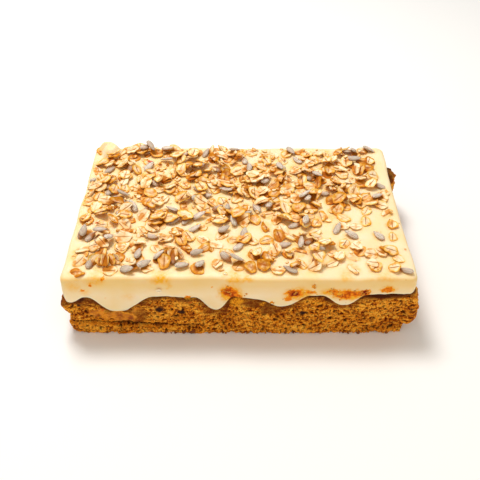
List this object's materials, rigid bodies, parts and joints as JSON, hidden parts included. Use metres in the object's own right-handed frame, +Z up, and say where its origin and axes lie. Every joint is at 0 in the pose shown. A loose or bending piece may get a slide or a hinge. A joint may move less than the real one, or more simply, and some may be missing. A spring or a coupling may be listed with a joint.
{
  "type": "carrot cake slab",
  "caption": "Rectangular slab of carrot cake: crumbly brown sponge under a thick pale icing that drips over its cut face, strewn with oat flakes and sunflower kernels",
  "frame": {"origin": "centre of the flat underside, on the ground", "axes": "+X along the slab's length to the right, +Y from the cut front face to the back, +Z up"},
  "size_m": [0.2194, 0.1349, 0.0549],
  "materials": {
    "sponge": "porous golden-brown crumb with a darker crust band under the icing",
    "icing": "smooth pale butter-yellow poured icing, satin, with toasted oat flakes and grey-beige sunflower kernels"
  },
  "bodies": {
    "root": {"sponge": "sponge", "icing": "icing"}
  },
  "joints": []
}
